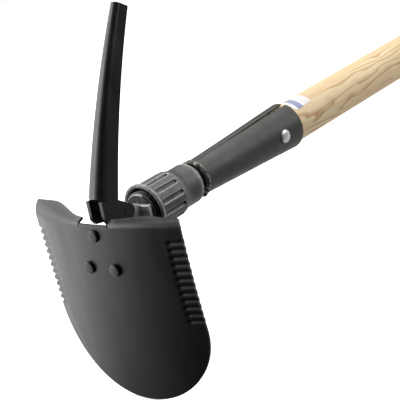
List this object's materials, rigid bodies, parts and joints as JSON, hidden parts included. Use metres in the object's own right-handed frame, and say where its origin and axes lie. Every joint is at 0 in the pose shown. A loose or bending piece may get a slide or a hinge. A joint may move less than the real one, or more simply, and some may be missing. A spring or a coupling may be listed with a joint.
{
  "type": "folding shovel and pick",
  "caption": "Long-handled camp tool with a folding shovel blade and a folding pick on one head, locked by a screw collar, on a wooden handle in a tube ferrule.",
  "frame": {"origin": "centre of the ferrule's mouth, on the handle's axis, where the bare handle begins", "axes": "+X along the handle away from the head, +Z towards the pick's side, -Z towards the blade's tip, Y across the blade"},
  "size_m": [1.1969, 0.152, 0.2895],
  "materials": {
    "ash": "bare ash with open brown grain, lightly sealed",
    "grey_paint": "dark warm grey paint, satin, lightly scuffed",
    "collar_paint": "grey phosphate, satin, worn at the edges",
    "black_steel": "satin black enamel on pressed steel",
    "bare_steel": "bare worn steel",
    "zinc": "dull zinc plate"
  },
  "bodies": {
    "shaft": {"handle": "ash", "ferrule": "grey_paint", "ferrule_rivet": "zinc", "weld_bead": "bare_steel", "yoke": "bare_steel", "pick_pin": "bare_steel", "blade_pin": "bare_steel"},
    "collar_carrier": {"guide_ring": "zinc"},
    "locking_collar": {"collar": "collar_paint"},
    "pick": {"pick": "black_steel"},
    "shovel": {"blade": "black_steel", "bracket": "black_steel", "blade_rivets": "black_steel"}
  },
  "joints": [
    {"name": "blade_fold", "type": "hinge", "parent": "shaft", "child": "shovel", "pos_m": [-0.2035, 0, -0.007], "axis": [0, 1, 0], "range_deg": [-90, 10]},
    {"name": "pick_fold", "type": "hinge", "parent": "shaft", "child": "pick", "pos_m": [-0.2035, 0, 0.009], "axis": [0, 1, 0], "range_deg": [0, 55]},
    {"name": "collar_slide", "type": "slide", "parent": "shaft", "child": "collar_carrier", "axis": [1, 0, 0], "range_m": [-0.008, 0.004]},
    {"name": "collar_turn", "type": "hinge", "parent": "collar_carrier", "child": "locking_collar", "pos_m": [-0.16, 0, 0], "axis": [1, 0, 0], "range_deg": [-720, 360]}
  ],
  "couplings": [
    {"joint": "collar_slide", "follows": "collar_turn", "m_per_rad": 0.00063662}
  ]
}
